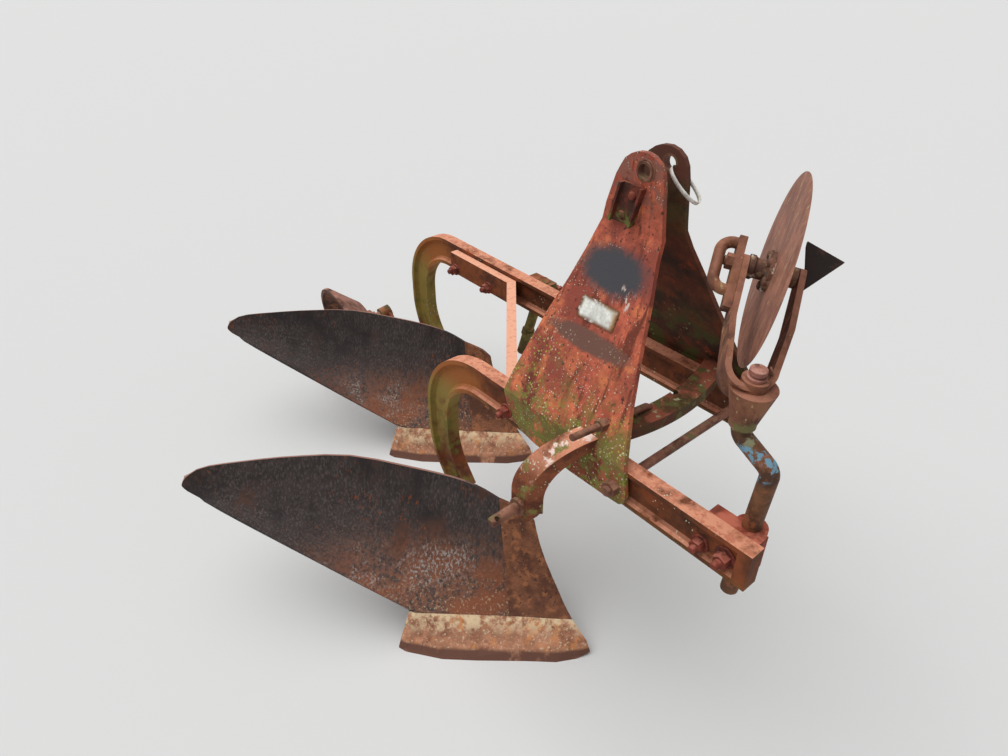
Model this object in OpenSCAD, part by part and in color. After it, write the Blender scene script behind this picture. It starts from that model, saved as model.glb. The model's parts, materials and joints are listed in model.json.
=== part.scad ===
// Two furrow mounted mouldboard plough, right hand turning, with a rolling coulter
// stowed upside down on the front beam and a leaning furrow wheel behind the rear body.
// Millimetres. Z is up with the ground at 0, the plough is drawn forward along -Y and
// turns its furrows to its right, which is -X. Each piece is its own module and node.

/* [Bodies] */
// sideways distance from the front body to the rear body, one furrow width
body_spacing = 356; // [300:410]
// distance the rear body stands behind the front body
body_stagger = 587; // [500:680]
// thickness of the mouldboard plate
board_thick = 8; // [6:12]
// thickness of the shin piece
shin_thick = 11; // [8:16]
// hollow of the mouldboard behind a straight line across it
board_hollow = 24; // [5:40]
// height of the landside plate
landside_high = 96; // [70:120]
// thickness of the landside plate
landside_thick = 12; // [8:20]

/* [Beams] */
// depth of the forged beam over both flanges
beam_deep = 80; // [60:100]
// width of the beam flanges
beam_wide = 34; // [28:50]
// thickness of the beam web
web_thick = 12; // [8:20]
// thickness of the beam flanges
flange_thick = 14; // [10:20]
// height of the beam top above the ground
beam_top = 584; // [500:660]
// outer radius of the upper bend of the gooseneck
neck_radius = 200; // [160:260]
// outer radius of the lower bend of the gooseneck
leg_radius = 240; // [200:320]

/* [Hitch] */
// thickness of the two mast plates
plate_thick = 10; // [8:14]
// clear gap between the mast plates at the top link
mast_gap = 52; // [48:60]
// height of the top link bore above the ground
mast_high = 1061; // [950:1150]
// diameter of the top link bore
top_bore = 25.4; // [19:0.1:26]
// diameter of the two lower hitch pins
pin_dia = 22; // [20:29]
// distance between the middles of the ball seats on the two lower hitch pins
pin_spread = 683; // [660:840]
// height of the lower hitch pins above the ground
pin_high = 448; // [400:560]
// radius of the forward bow of the hitch arms and bow brace
bow_radius = 480; // [350:700]
// diameter of the tie rod through both beams
tie_dia = 19; // [16:24]
// diameter of the bent stay rod through the right mast plate
stay_dia = 14; // [10:18]
// thickness of the strap brace between the beams
strap_thick = 24; // [12:30]

/* [Coulter] */
// diameter of the coulter shank
shank_dia = 32; // [25:38]
// diameter of the coulter disc
disc_dia = 320; // [280:420]
// thickness of the coulter disc
disc_thick = 5; // [3:8]
// turn of the coulter yoke about its shank as it is stowed
yoke_turn = 34; // [0:0.5:60]

/* [Furrow wheel] */
// diameter of the leaning furrow wheel
wheel_dia = 330; // [280:380]
// depth of the wheel's dish from its rim to its hub
wheel_deep = 80; // [50:110]
// lean of the wheel from upright, its top towards the turned soil
wheel_lean = 10; // [0:25]

/* [Hidden] */
$fn = 64;
// the layout starts from the front landside, this brings the middle of the box to x 0, y 0
shift = [1.75, -317.9, 0];
tie_y = -312;
beam_low = beam_top - beam_deep;
beam_mid = beam_top - beam_deep / 2;
mid_x = (beam_wide + body_spacing) / 2;
// radial clearance of a seat and of a running shaft, and how far a straight bar enters a bend
seat = 0.1;
running = 0.05;
enter = 1;
rust = [0.42, 0.2, 0.13];
paint = [0.72, 0.22, 0.12];
olive = [0.45, 0.42, 0.12];
steel = [0.36, 0.27, 0.24];

module placed() { translate(shift) children(); }
module on_body(i) { translate([i * body_spacing, i * body_stagger, 0]) children(); }
// the left half of the hitch is the right half seen in a mirror between the beams
module on_side(s) {
    translate([s * 2 * mid_x, 0, 0]) mirror([s, 0, 0]) children();
}
// a side view outline of y and z as a slab from x0 to x1
module side_slab(x0, x1) {
    translate([x0, 0, 0]) rotate([90, 0, 90]) linear_extrude(x1 - x0) children();
}
// a front view outline of x and z as a slab from y0 to y1
module front_slab(y0, y1) {
    translate([0, y1, 0]) rotate([90, 0, 0]) linear_extrude(y1 - y0) children();
}
// a round bar along x from x0 to x1
module bar_x(x0, x1, y, z, d) {
    translate([x0, y, z]) rotate([0, 90, 0]) cylinder(h = x1 - x0, d = d);
}
// a hexagon nut along x, f across the flats
module hex_x(x0, x1, y, z, f) {
    translate([x0, y, z]) rotate([0, 90, 0]) cylinder(h = x1 - x0, d = f / cos(30), $fn = 6);
}

// Beams
neck_y = 105;
leg_z = 330;
leg_turn = 38;
leg_tail = 50;
// forged I section as points of x across and depth from the inner flange, g smaller all round
function section_points(g) =
    let (w = beam_wide, d = beam_deep, f = flange_thick, a = (w - web_thick) / 2, k = 5)
    [[g, g], [w - g, g], [w - g, f - 4 - g], [w - a + k, f - g], [w - a - g, f + k],
     [w - a - g, d - f - k], [w - a + k, d - f + g], [w - g, d - f + 4 + g], [w - g, d - g],
     [g, d - g], [g, d - f + 4 + g], [a - k, d - f + g], [a + g, d - f - k], [a + g, f + k],
     [a - k, f - g], [g, f - 4 - g]];
module section_upright(z0, g) { polygon([for (q = section_points(g)) [q[0], z0 + q[1]]]); }
module section_radial(r0, g) { polygon([for (q = section_points(g)) [r0 + q[1], q[0]]]); }

// the forged beam with its gooseneck, the most skilful piece of the plough: straight run,
// upper bend, upright, lower bend and tail, all carrying the same I section
module beam(front_y) {
    g = seat / 2;
    front_slab(front_y, neck_y + enter) section_upright(beam_low, g);
    translate([0, neck_y, beam_top - neck_radius]) rotate([90, 0, 90])
        rotate_extrude(angle = 90, $fn = 96) section_radial(neck_radius - beam_deep, 0);
    translate([0, 0, leg_z - enter]) linear_extrude(beam_top - neck_radius - leg_z + 2 * enter)
        section_upright(neck_y + neck_radius - beam_deep, g);
    translate([0, neck_y + neck_radius - leg_radius, leg_z]) rotate([90, 0, 90])
        rotate([0, 0, -leg_turn]) {
            rotate_extrude(angle = leg_turn, $fn = 96) section_radial(leg_radius - beam_deep, 0);
            translate([0, enter, 0]) rotate([90, 0, 0]) linear_extrude(leg_tail + enter)
                section_radial(leg_radius - beam_deep, g);
        }
}
module tie_holes() { bar_x(-60, 2 * mid_x + 60, tie_y, beam_mid, tie_dia); }
module beam_front() {
    color(paint) difference() {
        union() {
            beam(-594);
            translate([seat / 2, -594, beam_low + seat / 2])
                cube([beam_wide - seat, 26, beam_deep - seat]);
        }
        tie_holes();
    }
}
module beam_rear() {
    color(paint) difference() {
        on_body(1) beam(-345 - body_stagger);
        tie_holes();
    }
}

// Mast plates
face_x = mid_x - mast_gap / 2;
bend_low = 593;
bend_high = 948;
plate_outline = [
    [-31, 534], [-12, 556], [0, 590], [-6, 637], [-21, 705], [-36, 770], [-56, 835],
    [-71, 898], [-87, 984], [-104, 1040], [-112, 1056], [-121, 1072], [-135, 1083],
    [-150, 1089], [-167, 1091], [-184, 1087], [-198, 1077], [-206, 1063], [-211, 1040],
    [-214, 1010], [-220, 960], [-228, 915], [-248, 851], [-269, 772], [-295, 686],
    [-314, 638], [-331, 593], [-341, 535], [-339, 519], [-328, 510], [-290, 507],
    [-197, 504], [-101, 508], [-55, 517]];
// slanted part of a plate: its run over its rise, and the shift of its outer face
slant = face_x / (bend_high - bend_low);
mitre = plate_thick * (sqrt(1 + slant * slant) - 1) / slant;
// front view of one bent plate, grown by g on its outer side and by h on its inner side
module plate_strip() {
    t = plate_thick;
    polygon([[0, 480], [0, bend_low], [face_x, bend_high], [face_x, 1110],
        [face_x - t, 1110], [face_x - t, bend_high + mitre], [-t, bend_low + mitre], [-t, 480]]);
}
// everything on the inner side of the outer face of the right plate
module inside_plate() {
    t = plate_thick;
    polygon([[-t, 300], [-t, bend_low + mitre], [face_x - t, bend_high + mitre],
        [face_x - t, 1200], [700, 1200], [700, 300]]);
}
module plate_solid() {
    intersection() {
        front_slab(-345, 5) plate_strip();
        side_slab(-20, 200) polygon(plate_outline);
    }
}
// threaded stay: it runs inwards through the right plate and turns down into the brace
stay_at = [-71, -256, 656];
stay_fall = 8.15;
stay_run = 201;
stay_bend = 16;
module stay_line(d) {
    translate(stay_at) rotate([0, 90 + stay_fall, 0]) cylinder(h = stay_run + enter, d = d);
}
module stay_hook(d) {
    translate(stay_at) rotate([0, 90 + stay_fall, 0]) translate([stay_bend, 0, stay_run])
        rotate([90, 0, 0]) rotate([0, 0, 90 + stay_fall]) {
            rotate_extrude(angle = 90 - stay_fall) translate([stay_bend, 0])
                circle(d = d + seat);
            translate([stay_bend, enter, 0]) rotate([90, 0, 0]) cylinder(h = 28, d = d);
        }
}
module mast_plate(s) {
    color(paint) difference() {
        on_side(s) difference() {
            plate_solid();
            bar_x(100, 240, -170, mast_high, 34);
        }
        tie_holes();
        if (s == 0) stay_line(stay_dia);
    }
}
module mast_plate_right() { mast_plate(0); }
module mast_plate_left() { mast_plate(1); }
module top_bush(s) {
    color(rust) on_side(s) translate([face_x - plate_thick - 6, -170, mast_high])
        rotate([0, 90, 0]) difference() {
            cylinder(h = plate_thick + 6, d = 34);
            translate([0, 0, -1]) cylinder(h = plate_thick + 8, d = top_bore);
        }
}
module top_bush_right() { top_bush(0); }
module top_bush_left() { top_bush(1); }
// small folded bracket below the top bore on the right plate, with its two turned out sides
module stow_bracket() {
    x = face_x - plate_thick;
    color(rust) {
        side_slab(x - 5, x) polygon([[-124, 1033], [-176, 1032], [-156, 957], [-104, 957]]);
        side_slab(x - 14, x - 5) polygon([[-124, 1033], [-129, 1033], [-109, 957], [-104, 957]]);
        side_slab(x - 14, x - 5) polygon([[-171, 1032], [-176, 1032], [-156, 957], [-151, 957]]);
    }
}

// Hitch arms, brace and rods
arm_x = mid_x - pin_spread / 2 + 36;
arm_top = 621;
hitch_thick = 24;
hitch_bend = 145;
pin_reach = 70;
brace_top = 620;
bow_at = -299;
bow_thick = 48;
pin_y = bow_at + bow_radius - sqrt(pow(bow_radius, 2) - pow(mid_x - arm_x, 2)) + bow_thick / 2;
// plan of the bow that the arms and the brace share
module bow_plan() {
    translate([mid_x, bow_at + bow_radius]) difference() {
        circle(r = bow_radius, $fn = 180);
        translate([0, bow_thick]) circle(r = bow_radius, $fn = 180);
        translate([-600, -200]) square([1200, 800]);
    }
}
module arm_front_view() {
    r = hitch_bend; t = hitch_thick;
    translate([arm_x, pin_high - 34]) square([t, arm_top - r - pin_high + 34]);
    translate([arm_x + r, arm_top - t]) square([160, t]);
    translate([arm_x + r, arm_top - r]) difference() {
        circle(r = r);
        circle(r = r - t);
        translate([0, -r]) square([r, 2 * r]);
        translate([-r, -r]) square([2 * r, r]);
    }
}
// side view of an arm with its foot rounded about the pin
module arm_side_view() {
    translate([pin_y - 6, pin_high - 6]) circle(r = 28);
    translate([pin_y - 300, pin_high - 6]) square([500, 300]);
}
module hitch_arm(s) {
    color(paint) on_side(s) difference() {
        intersection() {
            front_slab(-320, -60) arm_front_view();
            translate([0, 0, 380]) linear_extrude(280) bow_plan();
            side_slab(arm_x - 20, arm_x + 300) arm_side_view();
        }
        front_slab(-330, -50) inside_plate();
        bar_x(arm_x - 5, arm_x + 45, pin_y, pin_high, pin_dia);
    }
}
module hitch_arm_right() { hitch_arm(0); }
module hitch_arm_left() { hitch_arm(1); }
module hitch_pin(s) {
    color(rust) on_side(s) difference() {
        union() {
            bar_x(arm_x - pin_reach, arm_x + hitch_thick, pin_y, pin_high, pin_dia);
            bar_x(arm_x - 8, arm_x, pin_y, pin_high, 38);
            translate([arm_x - pin_reach - 4, pin_y, pin_high]) rotate([0, 90, 0])
                cylinder(h = 4, d1 = pin_dia - 7, d2 = pin_dia);
        }
        translate([arm_x - pin_reach + 8, pin_y, pin_high - 20]) rotate([35, 0, 0])
            translate([0, 0, -20]) cylinder(h = 80, d = 11.5);
    }
}
module hitch_pin_right() { hitch_pin(0); }
module hitch_pin_left() { hitch_pin(1); }
module bow_brace() {
    color(paint) difference() {
        intersection() {
            translate([-40, -320, brace_top - 25]) cube([500, 260, 25]);
            translate([0, 0, 380]) linear_extrude(280) bow_plan();
        }
        for (s = [0, 1]) on_side(s) front_slab(-330, -50) polygon([[-200, 480], [0, 480],
            [0, bend_low], [face_x, bend_high], [-200, bend_high]]);
        stay_hook(stay_dia + 2);
        translate([220, -256, 580]) cylinder(h = 60, d = stay_dia + 2);
    }
}
module tie_rod() {
    color(rust) {
        bar_x(-34, 2 * mid_x + 34, tie_y, beam_mid, tie_dia);
        hex_x(-plate_thick - 16, -plate_thick, tie_y, beam_mid, 1.5 * tie_dia);
        hex_x(2 * mid_x + plate_thick, 2 * mid_x + plate_thick + 16, tie_y, beam_mid,
            1.5 * tie_dia);
    }
}
module strap_brace() {
    a = beam_wide;
    b = body_spacing;
    t = strap_thick;
    y = body_stagger - 201;
    color(olive) translate([0, 0, beam_low + 8]) linear_extrude(60)
        polygon([[b - t, y + 254], [b - t, y + 0.19 * t], [a, 40 + 0.19 * t], [a, -66],
            [a + t, -66], [a + t, 40 - 0.19 * t], [b, y - 0.19 * t], [b, y + 254]]);
}
module stay_rod() {
    color(rust) {
        stay_line(stay_dia);
        stay_hook(stay_dia);
        difference() {
            translate(stay_at) rotate([0, 90 + stay_fall, 0]) translate([0, 0, 68])
                cylinder(h = 20, d = 25, $fn = 6);
            plate_solid();
        }
    }
}

// Ploughing bodies
function mix(a, b, t) = a + (b - a) * t;
// point at t from 0 to 1 along straight lines through the points p
function along(p, t) =
    let (n = len(p) - 1, s = min(t * n, n - 0.000001), i = floor(s)) mix(p[i], p[i + 1], s - i);
// point at t along a smooth curve through the points p
function smooth(p, t) =
    let (n = len(p) - 1, s = min(t * n, n - 0.000001), i = floor(s), f = s - i,
         a = p[max(i - 1, 0)], b = p[i], c = p[i + 1], d = p[min(i + 2, n)])
    0.5 * ((2 * b) + (c - a) * f + (2 * a - 5 * b + 4 * c - d) * f * f
        + (3 * b - a - 3 * c + d) * f * f * f);
// edges of the front mouldboard: foot along the share and out to the wing, then the top
foot = [[-103, -130, 65], [-187, -62, 74], [-271, 6, 83], [-347, 112, 147], [-422, 216, 212],
    [-500, 322, 280], [-572, 424, 342]];
brow = [[-32, -10, 299], [-56, 34, 320], [-89, 82, 335], [-149, 150, 352], [-248, 267, 368],
    [-358, 344, 375], [-450, 393, 380], [-528, 428, 383], [-566, 433, 372]];
seam = [[-103, -130, 65], [-80, -94, 110], [-62, -64, 165], [-43, -30, 238], [-32, -10, 299]];
tail = [[-572, 424, 342], [-578, 433, 357], [-566, 433, 372]];
nose = [[3, -230, 62], [3, -203, 86], [3, -174, 124], [3, -137, 172], [3, -108, 226],
    [3, -92, 276]];
// a sheet with four given edges, u along it and v up it, with a hollow in the middle
function sheet(u, v, lo, hi, st, en, hollow) =
    mix(lo[0], hi[0], v) * 0 + mix(along(lo, u), smooth(hi, u), v)
    + (1 - u) * (smooth(st, v) - mix(st[0], st[len(st) - 1], v))
    + u * (smooth(en, v) - mix(en[0], en[len(en) - 1], v))
    + [0.51, 0.58, -0.64] * hollow * sin(180 * v) * sin(180 * min(1, 0.08 + 0.92 * u));
function board_at(u, v) = sheet(u, v, foot, brow, seam, tail, board_hollow);
function shin_at(u, v) =
    mix(smooth(nose, v), smooth(seam, v), u) + [0.5, 0.6, 0] * 5 * sin(180 * u) * sin(90 * v);
function unit(a) = a / norm(a);
// direction behind the sheet at u, v
function behind(k, u, v) =
    let (h = 0.02, a = k == 0 ? board_at(min(u + h, 1), v) - board_at(max(u - h, 0), v)
            : shin_at(min(u + h, 1), v) - shin_at(max(u - h, 0), v),
         b = k == 0 ? board_at(u, min(v + h, 1)) - board_at(u, max(v - h, 0))
            : shin_at(u, min(v + h, 1)) - shin_at(u, max(v - h, 0)))
    unit(cross(a, b));
function at(k, u, v, t) = (k == 0 ? board_at(u, v) : shin_at(u, v)) + t * behind(k, u, v);
// solid sheet k from t0 to t1 behind its working face, nu by nv cells
module sheet_solid(k, nu, nv, t0, t1) {
    w = nv + 1;
    n = (nu + 1) * w;
    pts = [for (t = [t0, t1]) for (i = [0:nu]) for (j = [0:nv]) at(k, i / nu, j / nv, t)];
    faces = concat(
        [for (i = [0:nu - 1]) for (j = [0:nv - 1]) each [
            [i * w + j, (i + 1) * w + j, (i + 1) * w + j + 1],
            [i * w + j, (i + 1) * w + j + 1, i * w + j + 1],
            [n + i * w + j, n + (i + 1) * w + j + 1, n + (i + 1) * w + j],
            [n + i * w + j, n + i * w + j + 1, n + (i + 1) * w + j + 1]]],
        [for (i = [0:nu - 1]) each [
            [i * w, n + i * w, n + (i + 1) * w], [i * w, n + (i + 1) * w, (i + 1) * w],
            [i * w + nv, n + (i + 1) * w + nv, n + i * w + nv],
            [i * w + nv, (i + 1) * w + nv, n + (i + 1) * w + nv]]],
        [for (j = [0:nv - 1]) each [
            [j, n + j + 1, n + j], [j, j + 1, n + j + 1],
            [nu * w + j, n + nu * w + j, n + nu * w + j + 1],
            [nu * w + j, n + nu * w + j + 1, nu * w + j + 1]]]);
    polyhedron(points = pts, faces = faces, convexity = 8);
}
module board_solid() { sheet_solid(0, 20, 8, 0, board_thick); }
module mouldboard_front() { color(steel) on_body(0) board_solid(); }
module mouldboard_rear() { color(steel) on_body(1) board_solid(); }
module shin_solid() {
    difference() {
        sheet_solid(1, 5, 8, 0, shin_thick);
        translate([3, -400, 0]) cube([60, 600, 400]);
        board_solid();
    }
}
module shin_front() { color(rust) on_body(0) shin_solid(); }
module shin_rear() { color(rust) on_body(1) shin_solid(); }
// share rows from the nose to the wing: top edge, worn lip, cutting edge, heel, back edge
share_rows = [
    [[3, -230, 61], [3, -277, 34], [3, -292, 8], [2, -280, 0], [3, -216, 44]],
    [[-24, -205, 62], [-27, -258, 31], [-30, -281, 0], [-24, -262, 0], [-24, -190, 45]],
    [[-60, -171, 63], [-66, -236, 26], [-72, -257, 0], [-62, -232, 0], [-58, -154, 45]],
    [[-103, -130, 64], [-116, -197, 19], [-122, -211, 0], [-106, -188, 0], [-98, -112, 46]],
    [[-187, -62, 73], [-204, -132, 7], [-207, -137, 0], [-190, -116, 0], [-180, -44, 54]],
    [[-240, -20, 79], [-262, -80, 4], [-264, -84, 0], [-247, -64, 0], [-232, -2, 60]],
    [[-271, 5, 82], [-312, -10, 6], [-316, -14, 0], [-300, 6, 0], [-262, 20, 65]],
    [[-277, 20, 81], [-321, 6, 5], [-322, 5, 0], [-306, 22, 0], [-268, 32, 66]]];
// the share butts against the lower edges of the mouldboard and the shin
module share_solid() {
    difference() {
        share_blank();
        board_solid();
        sheet_solid(1, 5, 8, 0, shin_thick);
    }
}
module share_blank() {
    m = 5;
    n = len(share_rows);
    polyhedron(points = [for (r = share_rows) each r],
        faces = concat([[for (j = [0:m - 1]) j]], [[for (j = [m - 1:-1:0]) (n - 1) * m + j]],
            [for (i = [0:n - 2]) for (j = [0:m - 1]) each [
                [i * m + j, (i + 1) * m + j, (i + 1) * m + (j + 1) % m],
                [i * m + j, (i + 1) * m + (j + 1) % m, i * m + (j + 1) % m]]]));
}
module share_front() { color(rust) on_body(0) share_solid(); }
module share_rear() { color(rust) on_body(1) share_solid(); }
module landside(i) {
    color(rust) on_body(i) side_slab(3 - landside_thick, 3)
        polygon([[-208, 0], [-208, 20], [-196, 46], [-166, 66], [-145, 84],
            [-135, landside_high], [300, landside_high], [308, landside_high - 8],
            [308, 8], [300, 0]]);
}
module landside_front() { landside(0); }
module landside_rear() { landside(1); }
// casting that joins the leg, the landside, the share and the boards
module frog(i) {
    x = 3 - landside_thick;
    color(olive) on_body(i) difference() {
        union() {
            side_slab(x - frog_thick, x) polygon([[-252, 4], [-212, 46], [-190, 56], [-162, 64],
                [-135, 86], [-106, 124], [-69, 172], [-40, 226], [-28, 262], [20, 262],
                [110, 214], [150, 200], [190, 215], [262, 150], [215, 20], [180, 4]]);
            side_slab(x, 0) polygon([[70, landside_high], [196, landside_high], [206, 110],
                [262, 150], [190, 215], [150, 200], [110, 170]]);
            side_slab(0, beam_wide) difference() {
                polygon([[70, landside_high], [196, landside_high], [218, 137], [152, 186],
                    [110, 170]]);
                leg_end_cut();
            }
        }
        board_solid();
        shin_solid();
        share_solid();
    }
}
// side view of the space above the sawn end of the leg
module leg_end_cut() {
    translate([neck_y + neck_radius - leg_radius, leg_z]) rotate([0, 0, -leg_turn])
        translate([leg_radius - beam_deep - 20, -leg_tail]) square([beam_deep + 40, 200]);
}
module frog_front() { frog(0); }
module frog_rear() { frog(1); }
// round stay from the landside to the back of the mouldboard, with a foot on the board
frog_thick = 16;
stay_root = [3 - landside_thick - frog_thick, 174, 60];
module board_stay(i) {
    p = at(0, 0.44, 0.45, board_thick / 2);
    n = behind(0, 0.44, 0.45);
    q = p + n * (board_thick / 2 + 4);
    d = stay_root - q;
    color(olive) on_body(i) difference() {
        union() {
            translate(q) rotate([0, acos(unit(d)[2]), atan2(d[1], d[0])])
                cylinder(h = norm(d) + 20, d = 22);
            translate(p) rotate([0, acos(n[2]), atan2(n[1], n[0])])
                cylinder(h = board_thick / 2 + 8, d = 46);
        }
        translate([stay_root[0], 80, -40]) cube([80, 220, 260]);
        board_solid();
    }
}
module board_stay_front() { board_stay(0); }
module board_stay_rear() { board_stay(1); }

// Coulter, stowed with its yoke above the beam
shank_x = beam_wide + 16 + shank_dia / 2;
shank_y = -548;
shank_lean = 3.4;
crank = 69;
crank_turn = 64;
crank_bend = 22;
yoke_rise = 300;
boss_low = 105;
boss_high = 14;
spindle = 24;
// the axle trails the swivel axis by more than the disc's radius, to pass the cap
disc_trail = disc_dia / 2 + 6;
hub_high = 80;
crown_low = 50;
arm_rise = atan2(hub_high + crown_low, disc_trail);
arm_long = norm([disc_trail, hub_high + crown_low]);
fork_tilt = 6.2;
yoke_gap = 80;
arm_thick = 10;
hub_dia = 34;
axle_dia = 16;
crank_run = (crank - 2 * crank_bend * (1 - cos(crank_turn))) / sin(crank_turn);
crank_high = 2 * crank_bend * sin(crank_turn) + crank_run * cos(crank_turn);
crank_from = yoke_rise - boss_low - 4 - crank_high;
// frame of the shank: z up along it from the middle of its clamp
module on_shank() {
    translate([shank_x, shank_y, 560]) rotate([shank_lean, 0, 0]) children();
}
// frame of the yoke: z along the swivel axis, x towards the trailing disc
module on_yoke() {
    on_shank() translate([0, crank, yoke_rise]) rotate([0, 0, yoke_turn]) children();
}
// frame of the axle: y along it, the fork is cast a little askew on its boss
module on_axle() {
    on_yoke() translate([disc_trail, 0, hub_high]) rotate([fork_tilt, 0, 0]) children();
}
// frame of the yoke arms: x along them from the fork's crown to the axle at arm_long
module on_arms() {
    on_axle() rotate([0, -arm_rise, 0]) translate([-arm_long, 0, 0]) children();
}
// outline of a bar that narrows from an end of radius a to one of radius b, l apart
module taper_bar(a, b, l) {
    t = acos((a - b) / l);
    polygon(concat([for (i = [0:8]) a * [cos(t + i * (360 - 2 * t) / 8),
        sin(t + i * (360 - 2 * t) / 8)]], [for (i = [0:8]) [l, 0]
        + b * [cos(-t + i * t / 4), sin(-t + i * t / 4)]]));
}
// plan of the fork, half as wide as w at the axle and a little narrower round its crown
module fork_plan(w) {
    c = yoke_gap / 2 - 1;
    r = w - 9;
    translate([c, 0]) circle(r = r);
    polygon([[c, -r], [115, -w], [300, -w], [300, w], [115, w], [c, r]]);
}
module arms_void() {
    translate([0, 0, -120]) linear_extrude(240) fork_plan(yoke_gap / 2);
}
module arms_outer() {
    w = yoke_gap + 2 * arm_thick;
    intersection() {
        rotate([90, 0, 0]) linear_extrude(w, center = true) taper_bar(34, 17, arm_long);
        translate([0, 0, -60]) linear_extrude(120) fork_plan(w / 2);
    }
}
module coulter_yoke() {
    color(rust) difference() {
        union() {
            on_arms() arms_outer();
            on_yoke() translate([0, 0, -97]) cylinder(h = 67, r1 = 22, r2 = 38);
        }
        on_arms() arms_void();
        on_yoke() translate([0, 0, -120]) cylinder(h = 300, d = spindle + 4);
        on_axle() rotate([90, 0, 0]) cylinder(h = 300, d = axle_dia, center = true);
    }
    color(rust) on_yoke() difference() {
        translate([0, 0, -boss_low]) cylinder(h = boss_low - boss_high, d = 44);
        translate([0, 0, -120]) cylinder(h = 300, d = spindle + 2 * running);
    }
}
module coulter_shank() {
    bend = shank_dia + seat;
    color(steel) on_shank() {
        translate([0, 0, -148]) cylinder(h = 148 + crank_from + enter, d = shank_dia);
        translate([0, 0, crank_from]) rotate([90, 0, 90]) {
            translate([crank_bend, 0]) rotate([0, 0, 180 - crank_turn])
                rotate_extrude(angle = crank_turn) translate([crank_bend, 0]) circle(d = bend);
            translate([crank_bend * (1 - cos(crank_turn)), crank_bend * sin(crank_turn)])
                rotate([0, 90, 90 - crank_turn]) translate([0, 0, -enter])
                    cylinder(h = crank_run + 2 * enter, d = shank_dia);
            translate([crank - crank_bend, crank_high]) rotate([0, 0, -crank_turn])
                rotate_extrude(angle = crank_turn) translate([crank_bend, 0]) circle(d = bend);
        }
        translate([0, crank, crank_from + crank_high - enter])
            cylinder(h = enter + 3.5, d = shank_dia);
        translate([0, crank, crank_from + crank_high])
            cylinder(h = boss_low - boss_high + 8, d = spindle);
    }
}
// grooved cap that keeps the yoke on its spindle
module coulter_cap() {
    color(rust) on_yoke() difference() {
        rotate_extrude() polygon([[0, 0.5 - boss_high], [16, 0.5 - boss_high], [16, -9],
            [11, -8], [11, -5], [14, -4], [14, 3], [13, 4], [0, 4]]);
        translate([0, 0, -boss_high - 1]) cylinder(h = 5, d = spindle);
    }
}
module coulter_clamp() {
    color(olive) difference() {
        translate([0, 0, beam_low + 4]) linear_extrude(beam_deep - 10) {
            translate([beam_wide, shank_y - 34]) square([shank_x - beam_wide, 100]);
            translate([shank_x, shank_y - 1]) circle(r = shank_dia / 2 + 12);
        }
        on_shank() translate([0, 0, -150]) cylinder(h = 250, d = shank_dia + 2 * seat);
    }
}
module coulter_axle() {
    h = yoke_gap / 2 + arm_thick;
    color(rust) on_axle() rotate([-90, 0, 0]) {
        translate([0, 0, -h]) cylinder(h = 2 * h + bar_thick + 14, d = axle_dia);
        translate([0, 0, h + bar_thick]) cylinder(h = 11, d = 27, $fn = 6);
    }
}
module coulter_hub() {
    h = yoke_gap / 2 - 1.5;
    color(rust) on_axle() rotate([90, 0, 0]) rotate_extrude()
        polygon([[axle_dia / 2 + running, -h], [hub_dia / 2 + 3, -h], [hub_dia / 2 + 3, 8 - h],
            [hub_dia / 2, 11 - h], [hub_dia / 2, -12], [hub_dia, -9],
            [hub_dia, -disc_thick / 2], [hub_dia / 2, -disc_thick / 2],
            [hub_dia / 2, h], [axle_dia / 2 + running, h]]);
}
module coulter_disc() {
    t = disc_thick / 2;
    color(steel) on_axle() rotate([90, 0, 0]) rotate_extrude($fn = 128) polygon([[hub_dia / 2, -t], [disc_dia / 2 - 14, -t],
            [disc_dia / 2, -0.4], [disc_dia / 2, 0.4], [disc_dia / 2 - 14, t],
            [hub_dia / 2, t]]);
}
loop_dia = 19;
bar_wide = 24;
bar_thick = 13;
// flat bar held by the axle along the outer face of the left arm
module jointer_clamp() {
    y = yoke_gap / 2 + arm_thick;
    color(rust) on_arms() difference() {
        translate([arm_long - 82, y, -bar_wide / 2]) cube([126, bar_thick, bar_wide]);
        translate([arm_long, 0, 0]) rotate([90, 0, 0])
            cylinder(h = 300, d = axle_dia, center = true);
    }
}
// round bar bent to a D that stands on the flat bar
module jointer_loop() {
    y = yoke_gap / 2 + arm_thick + bar_thick;
    r = 20;
    color(rust) on_arms() translate([arm_long - 8, y, 0]) {
        for (s = [0, 1]) mirror([s, 0, 0]) {
            translate([42, 0, 0]) rotate([-90, 0, 0]) cylinder(h = 4 + enter, d = loop_dia);
            translate([42 - r, 4, 0]) rotate_extrude(angle = 90) translate([r, 0])
                circle(d = loop_dia + seat);
        }
        translate([r - 42 - enter, 4 + r, 0]) rotate([0, 90, 0])
            cylinder(h = 2 * (42 - r + enter), d = loop_dia);
    }
}
// pointed jointer blade carried on the outer face of the right arm
module jointer_blade() {
    y = -yoke_gap / 2 - arm_thick;
    color(steel) on_arms() translate([0, 0, -3]) linear_extrude(6)
        translate([arm_long, y]) polygon([[-22, 0], [16, 0], [58, 7], [67, 7], [47, -56]]);
}

// Rear coulter stub
stub_dia = 28;
stub_lean = 17.6;
stub_x = beam_wide + 4 + stub_dia / 2;
module on_stub() {
    translate([body_spacing + stub_x, 337, beam_mid]) rotate([180 + stub_lean, 0, 0]) children();
}
module stub_shank() {
    color(rust) on_stub() difference() {
        union() {
            translate([0, 0, -38]) cylinder(h = 278, d = stub_dia);
            translate([0, 0, 150]) cylinder(h = 16, d = stub_dia + 8);
        }
        translate([0, 0, 228]) rotate([0, 90, 0]) cylinder(h = 60, d = 8, center = true);
    }
}
module stub_clamp() {
    color(olive) difference() {
        translate([body_spacing + beam_wide, 300, beam_low + 8]) cube([4 + stub_dia + 8, 80, 62]);
        on_stub() translate([0, 0, -60]) cylinder(h = 300, d = stub_dia + 2 * seat);
    }
}

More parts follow.
